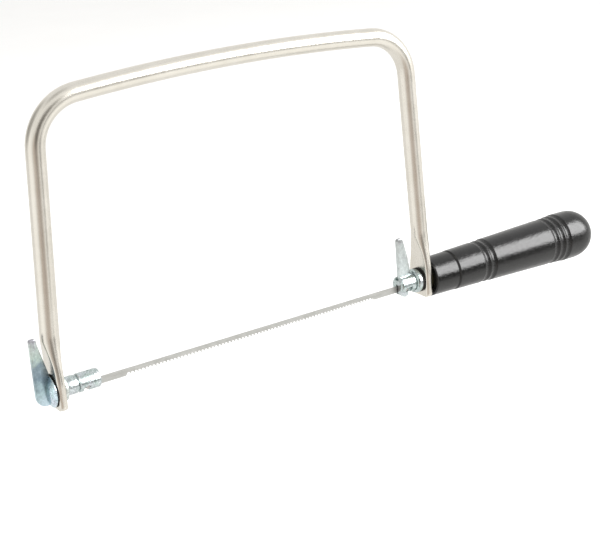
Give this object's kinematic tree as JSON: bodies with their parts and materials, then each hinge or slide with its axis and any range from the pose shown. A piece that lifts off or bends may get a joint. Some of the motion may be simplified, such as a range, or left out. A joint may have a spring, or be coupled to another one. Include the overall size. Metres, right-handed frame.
{
  "type": "coping saw",
  "caption": "Coping saw: round-rod bow with flattened ears, pinned thin blade in turning holders with levers, and a turned handle that screws the blade tight.",
  "frame": {"origin": "middle of the handle, on the common axis of handle and blade holders", "axes": "+X along the handle from the bow out through the domed end, +Y across the flat of the bow, +Z from the blade up to the top of the bow"},
  "size_m": [0.3058, 0.0244, 0.1379],
  "materials": {
    "bow": "nickel-plated steel rod, satin",
    "zinc": "bright zinc-plated steel, faint blue and lilac passivation",
    "blade_steel": "fine ground spring steel",
    "pin_steel": "plain steel",
    "fibre": "black pressed fibre",
    "lacquer": "turned hardwood under glossy black lacquer",
    "insert_metal": "turned brass"
  },
  "bodies": {
    "bow": {"bow_frame": "bow"},
    "front_holder": {"front_spigot": "zinc", "front_cap": "zinc", "front_friction_washer": "fibre", "front_lever": "zinc", "front_washer": "zinc", "blade": "blade_steel", "blade_pin_front": "pin_steel", "blade_pin_rear": "pin_steel"},
    "rear_slider": {"rear_collar": "zinc", "rear_friction_washer": "fibre"},
    "rear_holder": {"rear_spigot": "zinc", "rear_lever": "zinc"},
    "grip": {"handle": "lacquer", "handle_insert": "insert_metal"}
  },
  "joints": [
    {"name": "front_holder_turn", "type": "hinge", "parent": "bow", "child": "front_holder", "pos_m": [-0.2443, 0, 0], "axis": [1, 0, 0], "continuous": true},
    {"name": "handle_turn", "type": "hinge", "parent": "bow", "child": "grip", "pos_m": [0, 0, 0], "axis": [1, 0, 0], "range_deg": [0, 720]},
    {"name": "tension_slide", "type": "slide", "parent": "bow", "child": "rear_slider", "axis": [-1, 0, 0], "range_m": [0, 0.002]},
    {"name": "rear_holder_turn", "type": "hinge", "parent": "rear_slider", "child": "rear_holder", "pos_m": [-0.0588, 0, 0], "axis": [1, 0, 0], "continuous": true}
  ],
  "couplings": [
    {"joint": "tension_slide", "follows": "handle_turn", "m_per_rad": 0.00015915},
    {"joint": "rear_holder_turn", "follows": "front_holder_turn", "ratio": 1}
  ]
}
